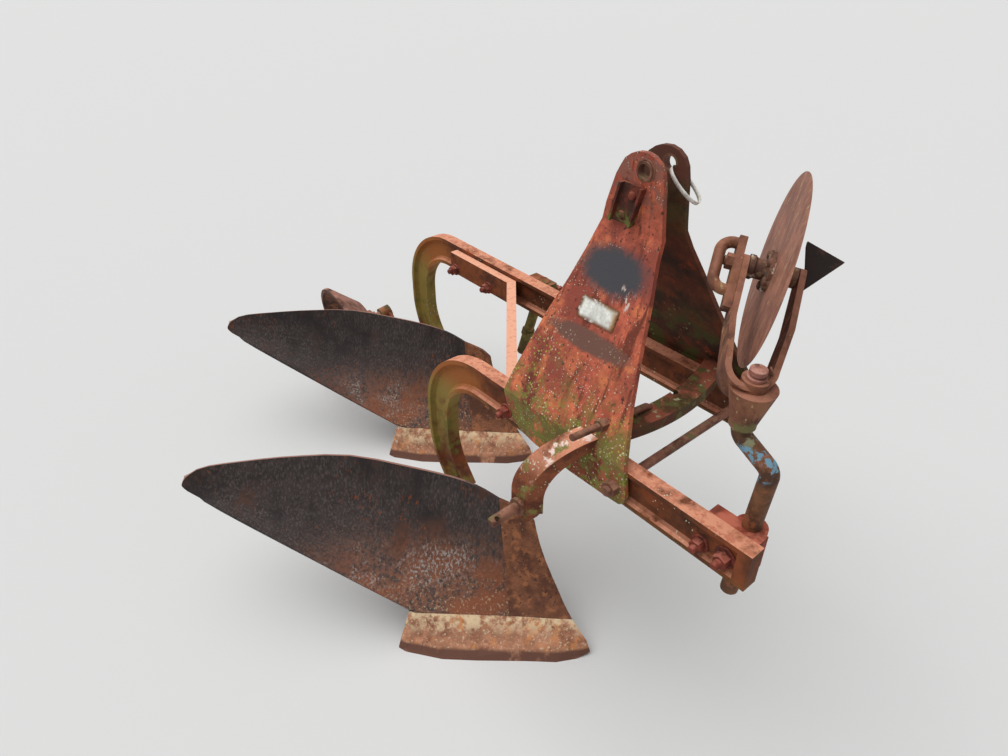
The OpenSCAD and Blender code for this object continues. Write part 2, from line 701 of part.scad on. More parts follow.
// Furrow wheel
wheel_yaw = -5;
wheel_x = body_spacing - 173;
wheel_y = body_stagger + 478;
wheel_axle = 30;
wheel_z = wheel_dia / 2 * cos(wheel_lean) + 6 * sin(wheel_lean) + 0.3;
// the bracket plate sits on the inner face of the rear landside, and axle_run is the distance
// along the axle from the wheel's rim to the middle of that plate
bracket_thick = 12;
bracket_x = body_spacing + 3 - landside_thick - bracket_thick / 2;
axle_run = (bracket_x - wheel_x) / cos(wheel_lean) / cos(wheel_yaw);
// frame of the wheel: x along its axle towards the bracket
module on_wheel() {
    translate([wheel_x, wheel_y, wheel_z]) rotate([0, 0, wheel_yaw]) rotate([0, -wheel_lean, 0])
        children();
}
// dished wheel, hollow towards the turned soil, with its hub on the land side
module furrow_wheel() {
    r = wheel_dia / 2;
    d = wheel_deep;
    a = wheel_axle / 2 + running;
    color(rust) on_wheel() rotate([0, 90, 0]) rotate_extrude($fn = 128) polygon([
        [a, d - 44], [a + 13, d - 44], [a + 17, d - 10], [72, d - 9], [r - 15, 0], [r - 13, -6],
        [r - 1, -6], [r, -5], [r, 4], [r - 2, 7], [80, d], [a + 24, d + 3], [a + 18, d + 28],
        [a, d + 28]]);
}
module wheel_axle() {
    d = wheel_deep;
    color(rust) on_wheel() rotate([0, 90, 0]) {
        translate([0, 0, d - 56]) cylinder(h = axle_run + 14 - d + 56, d = wheel_axle);
        translate([0, 0, d - 56]) cylinder(h = 11, d = wheel_axle + 16);
        translate([0, 0, d + 29]) cylinder(h = 10, d = wheel_axle + 16);
    }
}
module wheel_bracket() {
    yb = wheel_y + axle_run * cos(wheel_lean) * sin(wheel_yaw);
    zb = wheel_z + axle_run * sin(wheel_lean);
    x = bracket_x - bracket_thick / 2;
    y = body_stagger + 268;
    color(olive) difference() {
        union() {
            side_slab(x, x + bracket_thick) polygon([[y, 12], [y, 84], [y + 34, 88],
                [yb - 8, zb + 20], [yb + 16, zb + 18], [yb + 24, zb], [yb + 14, zb - 22],
                [y + 60, 30], [y + 34, 12]]);
            on_wheel() rotate([0, 90, 0]) translate([0, 0, axle_run - 26])
                cylinder(h = 38, d = wheel_axle + 18);
        }
        on_wheel() rotate([0, 90, 0]) cylinder(h = axle_run + 60, d = wheel_axle + 2 * seat);
    }
}

placed() beam_front();
placed() beam_rear();
placed() mast_plate_right();
placed() mast_plate_left();
placed() top_bush_right();
placed() top_bush_left();
placed() stow_bracket();
placed() hitch_arm_right();
placed() hitch_arm_left();
placed() hitch_pin_right();
placed() hitch_pin_left();
placed() bow_brace();
placed() tie_rod();
placed() strap_brace();
placed() stay_rod();
placed() frog_front();
placed() frog_rear();
placed() landside_front();
placed() landside_rear();
placed() share_front();
placed() share_rear();
placed() shin_front();
placed() shin_rear();
placed() mouldboard_front();
placed() mouldboard_rear();
placed() board_stay_front();
placed() board_stay_rear();
placed() coulter_clamp();
placed() coulter_shank();
placed() coulter_cap();
placed() coulter_yoke();
placed() coulter_axle();
placed() coulter_disc();
placed() coulter_hub();
placed() jointer_loop();
placed() jointer_clamp();
placed() jointer_blade();
placed() stub_clamp();
placed() stub_shank();
placed() wheel_bracket();
placed() wheel_axle();
placed() furrow_wheel();
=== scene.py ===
import json
import math

import bpy
from mathutils import Matrix, Vector


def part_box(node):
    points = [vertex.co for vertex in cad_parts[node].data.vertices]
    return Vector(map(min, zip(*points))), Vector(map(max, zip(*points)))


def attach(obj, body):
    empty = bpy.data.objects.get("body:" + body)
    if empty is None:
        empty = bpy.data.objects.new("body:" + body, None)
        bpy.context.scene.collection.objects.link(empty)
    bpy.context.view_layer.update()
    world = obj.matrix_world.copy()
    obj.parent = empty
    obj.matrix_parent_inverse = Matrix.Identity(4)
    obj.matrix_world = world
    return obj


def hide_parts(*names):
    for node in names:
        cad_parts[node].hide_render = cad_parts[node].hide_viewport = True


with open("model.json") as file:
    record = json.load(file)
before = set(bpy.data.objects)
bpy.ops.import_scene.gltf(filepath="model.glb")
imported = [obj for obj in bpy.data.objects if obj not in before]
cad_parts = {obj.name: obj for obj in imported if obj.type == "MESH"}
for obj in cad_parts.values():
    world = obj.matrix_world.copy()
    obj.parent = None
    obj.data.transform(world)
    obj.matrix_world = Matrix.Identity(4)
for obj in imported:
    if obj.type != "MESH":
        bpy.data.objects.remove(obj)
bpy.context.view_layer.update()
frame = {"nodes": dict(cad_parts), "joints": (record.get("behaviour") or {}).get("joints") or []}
bpy.ops.object.select_all(action="DESELECT")

# Camera: a wide phone camera, held above the right front corner of the plough and looking
# down on it.
CAMERA_PLACE = (-0.808, -1.2549, 1.4753)
CAMERA_TURN, CAMERA_DOWN, CAMERA_ROLL = -40.48, 34.73, 0.18
camera_data = bpy.data.cameras.new("camera")
camera_data.sensor_width = 36.0
camera_data.lens = 26.1
camera = bpy.data.objects.new("camera", camera_data)
bpy.context.collection.objects.link(camera)
camera.matrix_world = (Matrix.Translation(CAMERA_PLACE)
                       @ Matrix.Rotation(math.radians(CAMERA_TURN), 4, "Z")
                       @ Matrix.Rotation(math.radians(90 - CAMERA_DOWN), 4, "X")
                       @ Matrix.Rotation(math.radians(CAMERA_ROLL), 4, "Z"))
bpy.context.scene.camera = camera

# Floor and light: a plain pale studio floor under an even sky, and a wide soft light from
# above, as on an overcast day. Tops are lit and faces that look down fall into shade. The
# camera and the reflections see a paler sky than the one that lights the plough.
SKY_STRENGTH = 0.30
SUN_WAY, SUN_SPREAD, SUN_STRENGTH = (0.20, -0.22, -1.0), 70, 2.9
FLOOR_SIZE, FLOOR_MIDDLE = 120, (1.5, 2.0, 0)
scene = bpy.context.scene
scene.view_settings.view_transform = "Standard"
world = bpy.data.worlds.new("studio")
scene.world = world
world.use_nodes = True
tree = world.node_tree
tree.nodes.clear()
sky_light = tree.nodes.new("ShaderNodeBackground")
sky_light.inputs["Color"].default_value = (0.95, 0.97, 1.0, 1)
sky_light.inputs["Strength"].default_value = SKY_STRENGTH
sky_seen = tree.nodes.new("ShaderNodeBackground")
sky_seen.inputs["Color"].default_value = (0.80, 0.80, 0.79, 1)
sky_seen.inputs["Strength"].default_value = 1.0
ray = tree.nodes.new("ShaderNodeLightPath")
seen = ray.outputs["Is Camera Ray"]
for kind in ("Is Glossy Ray", "Is Transmission Ray"):
    either = tree.nodes.new("ShaderNodeMath")
    either.operation = "MAXIMUM"
    tree.links.new(seen, either.inputs[0])
    tree.links.new(ray.outputs[kind], either.inputs[1])
    seen = either.outputs[0]
choose = tree.nodes.new("ShaderNodeMixShader")
world_out = tree.nodes.new("ShaderNodeOutputWorld")
tree.links.new(seen, choose.inputs["Fac"])
tree.links.new(sky_light.outputs[0], choose.inputs[1])
tree.links.new(sky_seen.outputs[0], choose.inputs[2])
tree.links.new(choose.outputs[0], world_out.inputs[0])

sun_data = bpy.data.lights.new("overhead", "SUN")
sun_data.angle = math.radians(SUN_SPREAD)
sun_data.energy = SUN_STRENGTH
sun = bpy.data.objects.new("overhead", sun_data)
bpy.context.collection.objects.link(sun)
sun.rotation_euler = Vector(SUN_WAY).to_track_quat("-Z", "Y").to_euler()

bpy.ops.mesh.primitive_plane_add(size=FLOOR_SIZE, location=FLOOR_MIDDLE)
bpy.ops.object.transform_apply(location=True, rotation=True, scale=True)
floor = bpy.context.object
floor.name = "studio_floor"
floor_paint = bpy.data.materials.new("floor_paint")
floor_paint.use_nodes = True
floor_shader = floor_paint.node_tree.nodes["Principled BSDF"]
floor_shader.inputs["Base Color"].default_value = (0.62, 0.62, 0.61, 1)
floor_shader.inputs["Roughness"].default_value = 0.9
floor.data.materials.append(floor_paint)

# Beams and strap: two forged I beams, bent down at the back into a gooseneck, and the flat
# strap between them. The red paint is faded pink on the tops, rusted orange in the webs and
# grown over with olive lichen on the legs. The tops of the beams and of the strap are also
# painted paler, as a highlight where the light from above falls on them.


def rgb(red, green, blue):
    """A colour as it looks on a screen, from 0 to 255, as the shader's linear values."""
    return tuple((c / 255 / 12.92) if c <= 10 else ((c / 255 + 0.055) / 1.055) ** 2.4
                 for c in (red, green, blue)) + (1.0,)


def scaled(tree, factor_out, low, high):
    """factor_out brought from low..high to 0..1 with a soft start and end."""
    ramp = tree.nodes.new("ShaderNodeMapRange")
    ramp.interpolation_type = "SMOOTHSTEP"
    ramp.inputs["From Min"].default_value = low
    ramp.inputs["From Max"].default_value = high
    tree.links.new(factor_out, ramp.inputs["Value"])
    return ramp.outputs["Result"]


def combined(tree, a, b, how="MULTIPLY"):
    """a and b multiplied, or combined by another operation. b may be a plain number."""
    operation = tree.nodes.new("ShaderNodeMath")
    operation.operation = how
    tree.links.new(a, operation.inputs[0])
    if isinstance(b, (int, float)):
        operation.inputs[1].default_value = b
    else:
        tree.links.new(b, operation.inputs[1])
    return operation.outputs[0]


RAGGED = 0.4  # how far noise shifts the edge of a patch, in parts of its radius


def cover(tree, place, axes, coat):
    """How far a coat covers the metal at each point: the product of the marks it lists.

    noise (scale, low, high) and streak (the same, stretch, turn) are blotches, dots (scale,
    size) are round spots, and patch (centre, radii, low, high) is an oval with a ragged edge.
    y, z and also_z fade between two places, and up and back between two ways to face.
    """
    found = None
    for mark, value in coat.items():
        if mark == "colour":
            continue
        if mark in ("noise", "streak"):
            scale, low, high = value[:3]
            noise = tree.nodes.new("ShaderNodeTexNoise")
            noise.inputs["Scale"].default_value = scale
            noise.inputs["Detail"].default_value = 7
            noise.inputs["Roughness"].default_value = 0.62
            stretch = tree.nodes.new("ShaderNodeMapping")
            stretch.inputs["Scale"].default_value = value[3] if mark == "streak" else (1, 1, 1)
            # Each coat's noise is moved by its own numbers, so that no two coats line up.
            stretch.inputs["Location"].default_value = (0.37 * scale % 1, low, high)
            stretch.inputs["Rotation"].default_value = value[4] if len(value) > 4 else (0, 0, 0)
            tree.links.new(place, stretch.inputs["Vector"])
            tree.links.new(stretch.outputs[0], noise.inputs["Vector"])
            part = scaled(tree, noise.outputs["Fac"], low, high)
        elif mark == "dots":
            scale, size = value
            cells = tree.nodes.new("ShaderNodeTexVoronoi")
            cells.inputs["Scale"].default_value = scale
            tree.links.new(place, cells.inputs["Vector"])
            part = scaled(tree, cells.outputs["Distance"], size, size * 0.6)
        elif mark == "patch":
            centre, radii, low, high = value
            put = tree.nodes.new("ShaderNodeMapping")
            put.vector_type = "TEXTURE"
            put.inputs["Location"].default_value = centre
            put.inputs["Scale"].default_value = radii
            tree.links.new(place, put.inputs["Vector"])
            far = tree.nodes.new("ShaderNodeVectorMath")
            far.operation = "LENGTH"
            tree.links.new(put.outputs[0], far.inputs[0])
            ragged = tree.nodes.new("ShaderNodeTexNoise")
            ragged.inputs["Scale"].default_value = 60
            ragged.inputs["Detail"].default_value = 5
            tree.links.new(place, ragged.inputs["Vector"])
            rough_edge = combined(tree, ragged.outputs["Fac"], RAGGED)
            shaken = combined(tree, far.outputs["Value"], rough_edge, "ADD")
            part = scaled(tree, shaken, high + RAGGED / 2, low + RAGGED / 2)
        else:
            part = scaled(tree, axes[mark], *value)
        found = part if found is None else combined(tree, found, part)
    return found


DARKEST, PALEST = 0.72, 1.3  # how far the base colour of a metal is mottled
PIT_DEPTH = 0.0016


def metal(name, base, coats, rough=(0.62, 0.88), grain=0.35):
    """An old metal surface: a base colour under a list of coats, pitted and unevenly dull."""
    made = bpy.data.materials.new(name)
    made.use_nodes = True
    tree = made.node_tree
    shader = tree.nodes["Principled BSDF"]
    shader.inputs["Specular IOR Level"].default_value = 0.22
    place = tree.nodes.new("ShaderNodeTexCoord").outputs["Object"]
    split = tree.nodes.new("ShaderNodeSeparateXYZ")
    tree.links.new(place, split.inputs[0])
    facing = tree.nodes.new("ShaderNodeSeparateXYZ")
    tree.links.new(tree.nodes.new("ShaderNodeTexCoord").outputs["Normal"], facing.inputs[0])
    axes = {"y": split.outputs[1], "z": split.outputs[2], "also_z": split.outputs[2],
            "up": facing.outputs[2], "back": facing.outputs[1]}
    mottle = tree.nodes.new("ShaderNodeTexNoise")
    mottle.inputs["Scale"].default_value = 34
    mottle.inputs["Detail"].default_value = 9
    mottle.inputs["Roughness"].default_value = 0.7
    tree.links.new(place, mottle.inputs["Vector"])
    tone = tree.nodes.new("ShaderNodeMix")
    tone.data_type = "RGBA"
    tone.inputs["A"].default_value = tuple(c * DARKEST for c in base[:3]) + (1,)
    tone.inputs["B"].default_value = tuple(min(1, c * PALEST) for c in base[:3]) + (1,)
    tree.links.new(scaled(tree, mottle.outputs["Fac"], 0.35, 0.68), tone.inputs["Factor"])
    colour = tone.outputs["Result"]
    for coat in coats:
        mix = tree.nodes.new("ShaderNodeMix")
        mix.data_type = "RGBA"
        tree.links.new(cover(tree, place, axes, coat), mix.inputs["Factor"])
        tree.links.new(colour, mix.inputs["A"])
        mix.inputs["B"].default_value = coat["colour"]
        colour = mix.outputs["Result"]
    tree.links.new(colour, shader.inputs["Base Color"])
    pits = tree.nodes.new("ShaderNodeTexNoise")
    pits.inputs["Scale"].default_value = 260
    pits.inputs["Detail"].default_value = 6
    tree.links.new(place, pits.inputs["Vector"])
    dull = tree.nodes.new("ShaderNodeMapRange")
    dull.inputs["To Min"].default_value = rough[0]
    dull.inputs["To Max"].default_value = rough[1]
    tree.links.new(mottle.outputs["Fac"], dull.inputs["Value"])
    tree.links.new(dull.outputs[0], shader.inputs["Roughness"])
    bump = tree.nodes.new("ShaderNodeBump")
    bump.inputs["Strength"].default_value = grain
    bump.inputs["Distance"].default_value = PIT_DEPTH
    uneven = combined(tree, pits.outputs["Fac"], mottle.outputs["Fac"], "ADD")
    tree.links.new(uneven, bump.inputs["Height"])
    tree.links.new(bump.outputs[0], shader.inputs["Normal"])
    return made


node = frame["nodes"]


def coat_nodes(finish, *names):
    """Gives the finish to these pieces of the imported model."""
    for name in names:
        for slot in node[name].material_slots:
            slot.material = finish


pale_lichen = rgb(206, 203, 176)
moss = rgb(118, 116, 54)
faded_pink_and_highlight = rgb(212, 144, 114)
neck_rust, neck_radii = rgb(156, 92, 44), (0.05, 0.17, 0.11)
front_neck, rear_neck = (0.019, -0.070, 0.53), (0.375, 0.517, 0.53)
beam_finish_and_highlight = metal("beam_paint", rgb(98, 54, 32), [
    dict(colour=rgb(134, 70, 38), noise=(9, 0.48, 0.64)),
    dict(colour=rgb(70, 40, 27), noise=(17, 0.52, 0.66)),
    dict(colour=neck_rust, patch=(front_neck, neck_radii, 0.6, 1.1)),
    dict(colour=neck_rust, patch=(rear_neck, neck_radii, 0.6, 1.1)),
    dict(colour=rgb(146, 122, 60), z=(0.53, 0.43), noise=(12, 0.34, 0.54)),
    dict(colour=rgb(118, 108, 48), z=(0.47, 0.34), noise=(26, 0.50, 0.64)),
    # Paler on the faces that look up: faded paint, painted paler still as a highlight on the
    # tops.
    dict(colour=faded_pink_and_highlight, up=(0.55, 0.9), noise=(20, 0.30, 0.52)),
    dict(colour=rgb(184, 114, 88), up=(0.6, 0.9), noise=(90, 0.50, 0.62)),
    dict(colour=pale_lichen, dots=(110, 0.20), noise=(7, 0.54, 0.62)),
])
strap_finish_and_highlight = metal("strap_paint_and_highlight", rgb(122, 66, 36), [
    dict(colour=rgb(84, 46, 30), noise=(17, 0.50, 0.64)),
    # Pale on the faces that look up: a painted highlight along the top of the strap.
    dict(colour=rgb(230, 168, 138), up=(0.55, 0.9)),
    dict(colour=rgb(212, 146, 118), up=(0.55, 0.9), noise=(90, 0.52, 0.64)),
])
coat_nodes(beam_finish_and_highlight, "beam_front", "beam_rear")
coat_nodes(strap_finish_and_highlight, "strap_brace")

# Mast plates: two flame cut plates, bent inwards to the top link. The right one keeps most
# of its orange paint, with a scorched oval, a scraped band, pale scratches and lichen low
# down, and paler orange blotches painted on it as a highlight. The left one, which stays in
# shade, is greener, and its colours are painted darker as that shade.
oval_place, oval_radii = (0.126, -0.466, 0.877), (0.08, 0.089, 0.047)
band_place, band_radii = (0.067, -0.470, 0.753), (0.08, 0.112, 0.022)
scratch_place, scratch_radii = (0.110, -0.512, 0.843), (0.08, 0.034, 0.026)
plate_finish_and_highlight = metal("plate_paint", rgb(184, 94, 70), [
    dict(colour=rgb(142, 70, 56), noise=(8, 0.45, 0.60)),
    # Paler orange blotches: a painted highlight scattered over the plate.
    dict(colour=rgb(214, 120, 80), noise=(14, 0.52, 0.68)),
    dict(colour=rgb(110, 52, 38), streak=(11, 0.52, 0.64, (1, 3.2, 0.5))),
    dict(colour=rgb(80, 48, 42), noise=(110, 0.56, 0.66)),
    dict(colour=rgb(142, 90, 76), z=(0.95, 1.03), noise=(40, 0.44, 0.56)),
    dict(colour=rgb(110, 76, 66), patch=(band_place, band_radii, 0.7, 1.05)),
    dict(colour=rgb(118, 104, 56), z=(0.74, 0.58), noise=(13, 0.47, 0.60)),
    dict(colour=rgb(124, 122, 58), z=(0.74, 0.54), noise=(38, 0.49, 0.60)),
    dict(colour=moss, z=(0.70, 0.54), noise=(90, 0.54, 0.60)),
    dict(colour=rgb(160, 158, 70), dots=(120, 0.30), z=(0.80, 0.66), noise=(9, 0.45, 0.56)),
    dict(colour=rgb(214, 206, 178), dots=(105, 0.22), z=(0.84, 0.62), noise=(8, 0.44, 0.55)),
    dict(colour=rgb(214, 200, 178), dots=(190, 0.22), noise=(12, 0.50, 0.58)),
    dict(colour=rgb(68, 67, 71), patch=(oval_place, oval_radii, 0.6, 1.1)),
    dict(colour=rgb(206, 186, 176), patch=(scratch_place, scratch_radii, 0.5, 1.0),
         streak=(70, 0.55, 0.62, (1, 1.6, 0.5))),
], rough=(0.5, 0.8))
# The left plate: a darker copy of the plate paint, painted darker as the shade it stays in, with
# its own lichen.
left_plate_painted_shade = metal("left_plate_colours_with_painted_shade", rgb(98, 52, 32), [
    dict(colour=rgb(58, 36, 24), noise=(9, 0.44, 0.60)),
    dict(colour=rgb(136, 60, 32), noise=(16, 0.56, 0.68)),
    dict(colour=rgb(84, 74, 44), z=(0.90, 0.98), noise=(10, 0.36, 0.56)),
    dict(colour=rgb(98, 60, 48), z=(1.01, 1.05), noise=(10, 0.30, 0.50)),
    dict(colour=rgb(70, 72, 34), z=(0.80, 0.66), noise=(12, 0.46, 0.58)),
    dict(colour=rgb(160, 152, 108), dots=(70, 0.24), noise=(9, 0.53, 0.60), z=(0.8, 0.6)),
])
coat_nodes(plate_finish_and_highlight, "mast_plate_right")
coat_nodes(left_plate_painted_shade, "mast_plate_left")

# Hitch arms, brace and rods: curved flat bars carry the lower hitch pins, and a bowed brace
# joins the plates. Their tops are painted paler, as a highlight where the light from above
# falls on them. The tie rod, the stay rod and the bushes of the top link are bare brown
# steel, also painted paler on top as a highlight.
arm_finish_and_highlight = metal("arm_paint", rgb(132, 74, 48), [
    dict(colour=rgb(92, 48, 32), noise=(13, 0.45, 0.60)),
    # Paler on the faces that look up: a painted highlight on the tops of the arms.
    dict(colour=rgb(206, 138, 108), up=(0.3, 0.8), noise=(14, 0.32, 0.54)),
    dict(colour=rgb(122, 112, 60), noise=(30, 0.54, 0.64)),
    # Palest on the faces that look up: a painted highlight on the tops of the arms.
    dict(colour=rgb(228, 204, 190), up=(0.2, 0.6), noise=(50, 0.53, 0.63)),
    dict(colour=pale_lichen, dots=(120, 0.24), noise=(9, 0.44, 0.54)),
])
brace_finish_and_highlight = metal("brace_paint_and_highlight", rgb(96, 56, 40), [
    dict(colour=rgb(76, 60, 34), noise=(12, 0.44, 0.58)),
    # Paler on the faces that look up: a painted highlight on the top of the brace.
    dict(colour=rgb(148, 82, 62), up=(0.4, 0.9), noise=(20, 0.46, 0.60)),
    dict(colour=rgb(96, 90, 50), noise=(30, 0.52, 0.60)),
    dict(colour=rgb(166, 164, 124), up=(0.3, 0.8), noise=(60, 0.60, 0.66)),
])
rod_finish_and_highlight = metal("brown_rod_and_highlight", rgb(126, 84, 66), [
    dict(colour=rgb(88, 54, 42), noise=(18, 0.45, 0.60)),
    # Paler on the faces that look up: a painted highlight.
    dict(colour=rgb(150, 108, 88), up=(0.3, 0.9), noise=(30, 0.42, 0.60)),
    dict(colour=rgb(108, 98, 62), noise=(46, 0.56, 0.64)),
], rough=(0.45, 0.75))
coat_nodes(arm_finish_and_highlight, "hitch_arm_right", "hitch_arm_left")
coat_nodes(brace_finish_and_highlight, "bow_brace")
coat_nodes(rod_finish_and_highlight, "tie_rod", "stay_rod", "top_bush_right", "top_bush_left")

# Stow bracket: a folded steel clip below the top link hole, dark with rust and a little
# green at its foot. Its faces that look up are painted paler, as a highlight.
bracket_finish_and_highlight = metal("bracket_rust_and_highlight", rgb(112, 54, 40), [
    dict(colour=rgb(70, 40, 32), noise=(30, 0.42, 0.58)),
    dict(colour=rgb(104, 108, 54), z=(0.99, 0.96), noise=(60, 0.44, 0.54)),
    # Paler on the faces that look up: a painted highlight.
    dict(colour=rgb(150, 92, 74), up=(0.4, 0.9), noise=(30, 0.35, 0.6)),
])
coat_nodes(bracket_finish_and_highlight, "stow_bracket")

# Mouldboards: pressed steel, almost black where old rust has set and redder along the lower
# edge. Fine pale scratches show where soil last scoured them. The top edge is worn bare, and
# the faces that look up and to the back are painted paler still, as a highlight.
board_finish_and_highlight = metal("board_steel", rgb(56, 48, 46), [
    dict(colour=rgb(84, 74, 71), streak=(230, 0.48, 0.64, (1.0, 1.0, 0.16))),
    dict(colour=rgb(38, 32, 31), streak=(7, 0.46, 0.66, (1, 1, 0.45)), z=(0.18, 0.27)),
    dict(colour=rgb(78, 52, 42), streak=(11, 0.53, 0.70, (1.0, 1.0, 0.4))),
    dict(colour=rgb(116, 76, 58), z=(0.25, 0.12), streak=(110, 0.38, 0.60, (1.0, 1.0, 0.30))),
    dict(colour=rgb(126, 74, 50), z=(0.22, 0.09), noise=(11, 0.42, 0.58)),
    dict(colour=rgb(122, 64, 36), streak=(150, 0.56, 0.66, (1.0, 1.0, 0.25)),
         noise=(7, 0.50, 0.60)),
    dict(colour=rgb(148, 138, 132), z=(0.21, 0.16), streak=(190, 0.49, 0.60, (1.0, 1.0, 0.30)),
         also_z=(0.09, 0.12), noise=(9, 0.46, 0.60)),
    dict(colour=rgb(164, 136, 108), z=(0.17, 0.08), noise=(170, 0.56, 0.64)),
    # Paler where the faces look up and to the back: worn steel along the top edge, painted paler
    # as a highlight.
    dict(colour=rgb(150, 110, 98), up=(0.35, 0.5), back=(-0.12, 0.05)),
], rough=(0.5, 0.78), grain=0.22)
coat_nodes(board_finish_and_highlight, "mouldboard_front", "mouldboard_rear")

# Shins and shares: the shin guards the front edge of the board and the share cuts the furrow
# bottom. Both are plain steel gone orange brown, and pale dirt has dried along the share's
# upper edge.
shin_finish = metal("shin_steel", rgb(122, 78, 56), [
    dict(colour=rgb(90, 56, 42), noise=(16, 0.46, 0.60)),
    dict(colour=rgb(150, 96, 64), noise=(34, 0.50, 0.62)),
    dict(colour=rgb(70, 46, 38), noise=(110, 0.58, 0.66)),
    dict(colour=rgb(186, 150, 124), noise=(120, 0.66, 0.72)),
])
share_finish = metal("share_steel", rgb(174, 122, 94), [
    dict(colour=rgb(132, 84, 64), noise=(18, 0.48, 0.62)),
    dict(colour=rgb(196, 130, 82), noise=(30, 0.52, 0.66)),
    dict(colour=rgb(222, 194, 156), z=(0.032, 0.062), noise=(44, 0.42, 0.58)),
    dict(colour=rgb(202, 174, 144), noise=(150, 0.56, 0.64)),
    dict(colour=rgb(104, 70, 58), z=(0.021, 0.014), noise=(9, 0.34, 0.44)),
])
coat_nodes(shin_finish, "shin_front", "shin_rear")
coat_nodes(share_finish, "share_front", "share_rear")

# Frogs, landsides and stays: the castings and bars behind the boards, out of the rain, are
# brown rust with dried soil. The stays and the stub keep an olive film of old paint, and the
# coulter's clamp its red. On the olive pieces and on the clamp, the faces that look up are
# painted paler, as a highlight.
frog_finish = metal("frog_casting", rgb(92, 60, 42), [
    dict(colour=rgb(64, 44, 34), noise=(12, 0.44, 0.60)),
    dict(colour=rgb(122, 104, 78), z=(0.16, 0.02), noise=(20, 0.46, 0.60)),
    dict(colour=rgb(126, 70, 42), noise=(34, 0.55, 0.66)),
], grain=0.5)
landside_finish = metal("landside_steel", rgb(104, 68, 52), [
    dict(colour=rgb(74, 50, 42), streak=(10, 0.46, 0.60, (1, 0.3, 2))),
    dict(colour=rgb(134, 88, 62), noise=(30, 0.52, 0.64)),
    dict(colour=rgb(140, 124, 98), z=(0.06, 0.0), noise=(20, 0.48, 0.60)),
])
olive_finish_and_highlight = metal("olive_film_and_highlight", rgb(112, 98, 50), [
    dict(colour=rgb(120, 64, 38), noise=(14, 0.47, 0.60)),
    dict(colour=rgb(78, 70, 40), noise=(24, 0.48, 0.62)),
    # Paler on the faces that look up: a painted highlight.
    dict(colour=rgb(160, 96, 72), up=(0.6, 0.95), noise=(18, 0.40, 0.58)),
])
coat_nodes(frog_finish, "frog_front", "frog_rear")
coat_nodes(landside_finish, "landside_front", "landside_rear")
coat_nodes(olive_finish_and_highlight, "board_stay_front", "board_stay_rear", "stub_clamp", "stub_shank",
           "wheel_bracket")
clamp_finish_and_highlight = metal("clamp_paint_and_highlight", rgb(150, 70, 50), [
    dict(colour=rgb(98, 50, 38), noise=(20, 0.45, 0.60)),
    # Paler on the faces that look up: a painted highlight.
    dict(colour=rgb(186, 104, 82), up=(0.6, 0.95), noise=(24, 0.38, 0.58)),
])
coat_nodes(clamp_finish_and_highlight, "coulter_clamp")

# Coulter: stowed upside down on its cranked shank, it is a forged yoke, a plain disc on a
# cast hub, and a jointer blade. All of it is brown rust, and old blue paint shows on the
# shank and the hub. The faces of the yoke and of the cap that look up are painted paler,
# as a highlight.
blue_place, blue_radii = (0.068, -0.85, 0.712), (0.05, 0.05, 0.034)
shank_finish = metal("shank_steel", rgb(110, 74, 50), [
    dict(colour=rgb(78, 52, 38), noise=(20, 0.45, 0.60)),
    dict(colour=rgb(140, 86, 56), noise=(34, 0.52, 0.64)),
    dict(colour=rgb(150, 152, 118), z=(0.72, 0.75), noise=(44, 0.50, 0.58)),
    dict(colour=rgb(108, 112, 58), z=(0.74, 0.78), noise=(26, 0.48, 0.60)),
    dict(colour=rgb(112, 152, 172), patch=(blue_place, blue_radii, 0.7, 1.1),
         noise=(42, 0.50, 0.55)),
], rough=(0.5, 0.8))
yoke_finish_and_highlight = metal("yoke_rust_and_highlight", rgb(124, 80, 60), [
    dict(colour=rgb(82, 52, 42), noise=(12, 0.44, 0.60)),
    dict(colour=rgb(142, 96, 70), streak=(24, 0.50, 0.62, (1.6, 1.6, 0.6))),
    dict(colour=rgb(170, 146, 104), streak=(90, 0.62, 0.68, (1, 1, 0.5))),
    dict(colour=rgb(112, 104, 66), z=(0.80, 0.77), noise=(30, 0.44, 0.56)),
    # Paler on the faces that look up: a painted highlight.
    dict(colour=rgb(154, 104, 84), up=(0.60, 0.9), noise=(30, 0.34, 0.6)),
])
cap_finish_and_highlight = metal("cap_rust_and_highlight", rgb(150, 100, 86), [
    # Paler on the faces that look up: a painted highlight on the top of the cap.
    dict(colour=rgb(184, 134, 118), up=(0.3, 0.8), noise=(60, 0.42, 0.62)),
    dict(colour=rgb(112, 76, 62), noise=(60, 0.56, 0.66)),
])
disc_finish = metal("disc_rust", rgb(154, 105, 86), [
    dict(colour=rgb(126, 84, 70), streak=(16, 0.44, 0.66, (2, 2, 0.6), (0, 0.5, 0))),
    dict(colour=rgb(162, 116, 98), streak=(30, 0.50, 0.70, (2, 2, 0.5), (0, 0.5, 0))),
    dict(colour=rgb(190, 158, 116), streak=(80, 0.59, 0.68, (2, 2, 0.4), (0, 0.5, 0))),
], rough=(0.5, 0.8), grain=0.28)
hub_finish = metal("hub_casting", rgb(112, 78, 62), [
    dict(colour=rgb(78, 52, 44), noise=(30, 0.44, 0.60)),
    dict(colour=rgb(150, 124, 96), noise=(60, 0.54, 0.64)),
    dict(colour=rgb(206, 196, 184), noise=(34, 0.60, 0.66)),
    dict(colour=rgb(52, 92, 100), noise=(18, 0.57, 0.62)),
])
blade_finish = metal("blade_steel", rgb(34, 24, 20), [
    dict(colour=rgb(58, 38, 30), noise=(22, 0.50, 0.64)),
], rough=(0.7, 0.9))
coat_nodes(shank_finish, "coulter_shank")
coat_nodes(yoke_finish_and_highlight, "coulter_yoke", "coulter_axle", "jointer_loop", "jointer_clamp")
coat_nodes(cap_finish_and_highlight, "coulter_cap")
coat_nodes(disc_finish, "coulter_disc")
coat_nodes(hub_finish, "coulter_hub")
